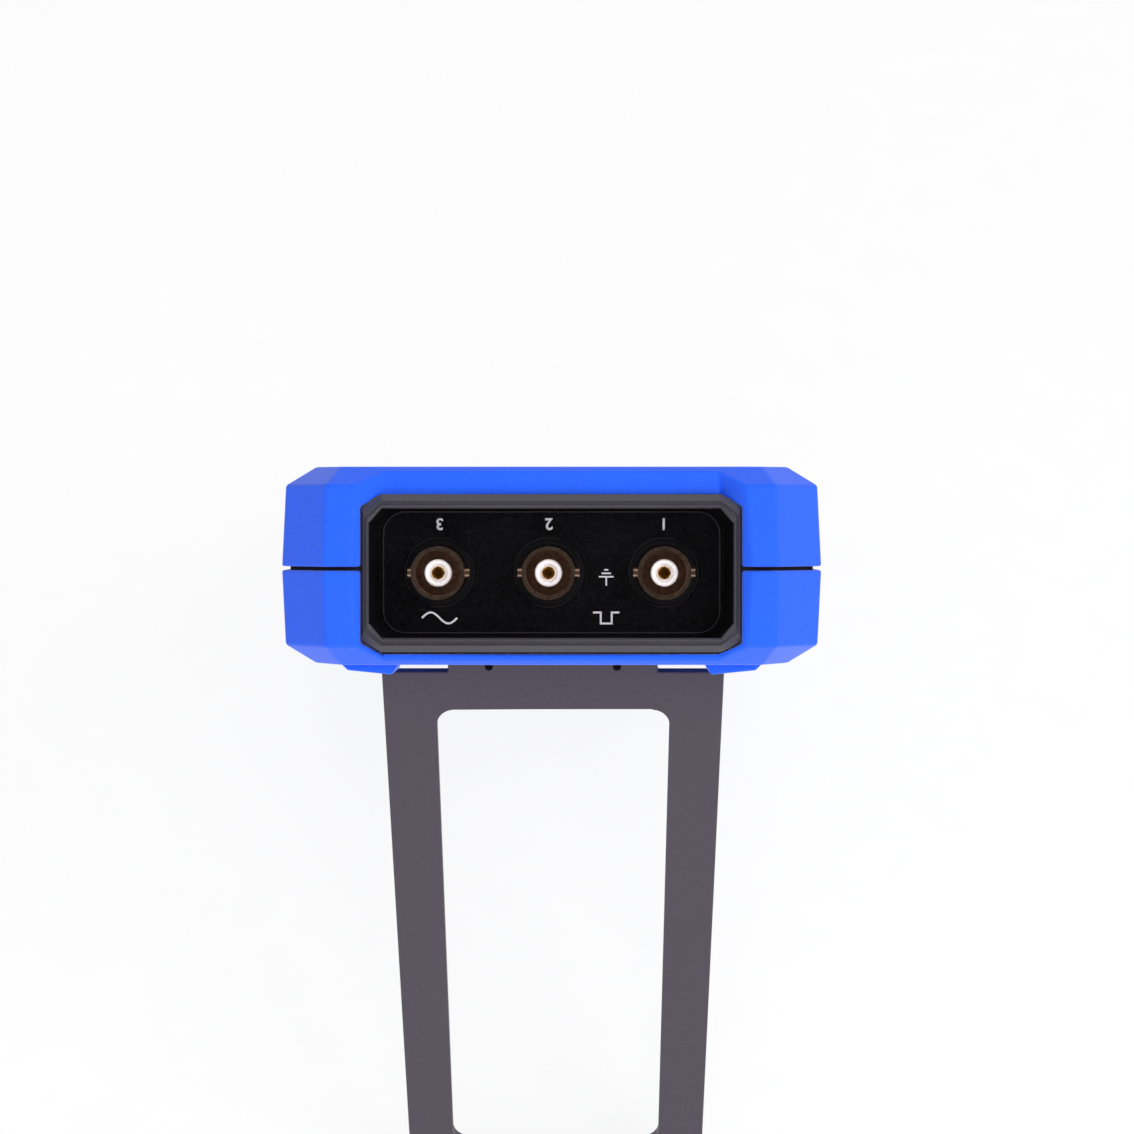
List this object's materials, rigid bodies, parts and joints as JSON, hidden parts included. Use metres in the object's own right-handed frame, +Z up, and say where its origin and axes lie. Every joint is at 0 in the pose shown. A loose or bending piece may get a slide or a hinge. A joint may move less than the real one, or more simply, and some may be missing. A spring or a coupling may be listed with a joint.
{
  "type": "handheld oscilloscope",
  "caption": "Handheld oscilloscope leaning on a fold-out stand, with bayonet sockets at its top end, keys, a screen, and soft bumpers round a hard case.",
  "frame": {"origin": "middle of the box round the part, on the surface it stands on", "axes": "+Z up; X across the body, +X at the user's right; the screen faces -Y and up, the connector end and the stand are at +Y"},
  "size_m": [0.098, 0.1758, 0.1678],
  "materials": {
    "bumper_tpe": "soft-touch moulded, matte",
    "case_plastic": "fine moulded texture",
    "bezel_plastic": "fine moulded texture",
    "panel_plastic": "grained",
    "stand_plastic": "satin moulded",
    "nickel": "nickel plated",
    "collar_black": "black",
    "ptfe": "satin white",
    "gold": "gold plated",
    "gasket_rubber": "black",
    "window_glass": "clear, dark printed border",
    "display": "liquid crystal panel",
    "board": "green solder mask",
    "shield_steel": "tinned",
    "mat_silicone": "translucent grey silicone",
    "key_plastic": "matte silicone caps",
    "key_blue": "matte blue",
    "key_power": "matte red",
    "sleeve_black": "moulded",
    "sleeve_red": "moulded",
    "cell_wrap": "shrink sleeve",
    "screw_steel": "zinc plated",
    "pin_steel": "ground"
  },
  "bodies": {
    "instrument": {"front_bumper": "bumper_tpe", "rear_bumper": "bumper_tpe", "case_gasket": "gasket_rubber", "front_case": "case_plastic", "rear_case": "case_plastic", "battery_cover": "case_plastic", "jack_panel": "case_plastic", "case_screws": "screw_steel", "battery_cover_screws": "screw_steel", "connector_bezel": "bezel_plastic", "connector_panel": "panel_plastic", "display_window": "window_glass", "display_module": "display", "main_board": "board", "input_shield": "shield_steel", "keypad_mat": "mat_silicone", "battery_cells": "cell_wrap", "hinge_pin": "pin_steel", "usb_socket": "nickel", "bnc_barrel_1": "nickel", "bnc_collar_1": "collar_black", "bnc_insulator_1": "ptfe", "bnc_contact_1": "gold", "bnc_barrel_2": "nickel", "bnc_collar_2": "collar_black", "bnc_insulator_2": "ptfe", "bnc_contact_2": "gold", "bnc_barrel_3": "nickel", "bnc_collar_3": "collar_black", "bnc_insulator_3": "ptfe", "bnc_contact_3": "gold", "jack_sleeve_1": "sleeve_black", "jack_contact_1": "nickel", "jack_sleeve_2": "sleeve_black", "jack_contact_2": "nickel", "jack_sleeve_3": "sleeve_black", "jack_contact_3": "nickel", "jack_sleeve_4": "sleeve_red", "jack_contact_4": "nickel"},
    "run_key_body": {"run_key": "key_blue"},
    "power_key_body": {"power_key": "key_power"},
    "ok_key_body": {"ok_key": "key_plastic"},
    "screen_key_1_body": {"screen_key_1": "key_plastic"},
    "screen_key_2_body": {"screen_key_2": "key_plastic"},
    "screen_key_3_body": {"screen_key_3": "key_plastic"},
    "screen_key_4_body": {"screen_key_4": "key_plastic"},
    "left_key_1_body": {"left_key_1": "key_plastic"},
    "left_key_2_body": {"left_key_2": "key_plastic"},
    "left_key_3_body": {"left_key_3": "key_plastic"},
    "right_key_1_body": {"right_key_1": "key_plastic"},
    "right_key_2_body": {"right_key_2": "key_plastic"},
    "right_key_3_body": {"right_key_3": "key_plastic"},
    "right_arrow_key_body": {"right_arrow_key": "key_plastic"},
    "up_arrow_key_body": {"up_arrow_key": "key_plastic"},
    "left_arrow_key_body": {"left_arrow_key": "key_plastic"},
    "down_arrow_key_body": {"down_arrow_key": "key_plastic"},
    "stand": {"kickstand": "stand_plastic"},
    "flap": {"usb_flap": "bumper_tpe"}
  },
  "joints": [
    {"name": "kickstand_hinge", "type": "hinge", "parent": "instrument", "child": "stand", "pos_m": [0, 0.04061, 0.12202], "axis": [1, 0, 0], "range_deg": [-60, 0]},
    {"name": "run_key_press", "type": "slide", "parent": "instrument", "child": "run_key_body", "axis": [0, 0.7547, -0.656], "range_m": [0, 0.0008], "stiffness_N_per_m": 1500},
    {"name": "power_key_press", "type": "slide", "parent": "instrument", "child": "power_key_body", "axis": [0, 0.7547, -0.656], "range_m": [0, 0.0008], "stiffness_N_per_m": 1500},
    {"name": "ok_key_press", "type": "slide", "parent": "instrument", "child": "ok_key_body", "axis": [0, 0.7547, -0.656], "range_m": [0, 0.0008], "stiffness_N_per_m": 1500},
    {"name": "screen_key_1_press", "type": "slide", "parent": "instrument", "child": "screen_key_1_body", "axis": [0, 0.7547, -0.656], "range_m": [0, 0.0008], "stiffness_N_per_m": 1500},
    {"name": "screen_key_2_press", "type": "slide", "parent": "instrument", "child": "screen_key_2_body", "axis": [0, 0.7547, -0.656], "range_m": [0, 0.0008], "stiffness_N_per_m": 1500},
    {"name": "screen_key_3_press", "type": "slide", "parent": "instrument", "child": "screen_key_3_body", "axis": [0, 0.7547, -0.656], "range_m": [0, 0.0008], "stiffness_N_per_m": 1500},
    {"name": "screen_key_4_press", "type": "slide", "parent": "instrument", "child": "screen_key_4_body", "axis": [0, 0.7547, -0.656], "range_m": [0, 0.0008], "stiffness_N_per_m": 1500},
    {"name": "left_key_1_press", "type": "slide", "parent": "instrument", "child": "left_key_1_body", "axis": [0, 0.7547, -0.656], "range_m": [0, 0.0008], "stiffness_N_per_m": 1500},
    {"name": "left_key_2_press", "type": "slide", "parent": "instrument", "child": "left_key_2_body", "axis": [0, 0.7547, -0.656], "range_m": [0, 0.0008], "stiffness_N_per_m": 1500},
    {"name": "left_key_3_press", "type": "slide", "parent": "instrument", "child": "left_key_3_body", "axis": [0, 0.7547, -0.656], "range_m": [0, 0.0008], "stiffness_N_per_m": 1500},
    {"name": "right_key_1_press", "type": "slide", "parent": "instrument", "child": "right_key_1_body", "axis": [0, 0.7547, -0.656], "range_m": [0, 0.0008], "stiffness_N_per_m": 1500},
    {"name": "right_key_2_press", "type": "slide", "parent": "instrument", "child": "right_key_2_body", "axis": [0, 0.7547, -0.656], "range_m": [0, 0.0008], "stiffness_N_per_m": 1500},
    {"name": "right_key_3_press", "type": "slide", "parent": "instrument", "child": "right_key_3_body", "axis": [0, 0.7547, -0.656], "range_m": [0, 0.0008], "stiffness_N_per_m": 1500},
    {"name": "right_arrow_key_press", "type": "slide", "parent": "instrument", "child": "right_arrow_key_body", "axis": [0, 0.7547, -0.656], "range_m": [0, 0.0008], "stiffness_N_per_m": 1500},
    {"name": "up_arrow_key_press", "type": "slide", "parent": "instrument", "child": "up_arrow_key_body", "axis": [0, 0.7547, -0.656], "range_m": [0, 0.0008], "stiffness_N_per_m": 1500},
    {"name": "left_arrow_key_press", "type": "slide", "parent": "instrument", "child": "left_arrow_key_body", "axis": [0, 0.7547, -0.656], "range_m": [0, 0.0008], "stiffness_N_per_m": 1500},
    {"name": "down_arrow_key_press", "type": "slide", "parent": "instrument", "child": "down_arrow_key_body", "axis": [0, 0.7547, -0.656], "range_m": [0, 0.0008], "stiffness_N_per_m": 1500},
    {"name": "usb_flap_hinge", "type": "hinge", "parent": "instrument", "child": "flap", "pos_m": [-0.0452, -0.01166, 0.09352], "axis": [0, 0.7547, -0.656], "range_deg": [0, 90], "stiffness_Nm_per_rad": 0.002}
  ]
}
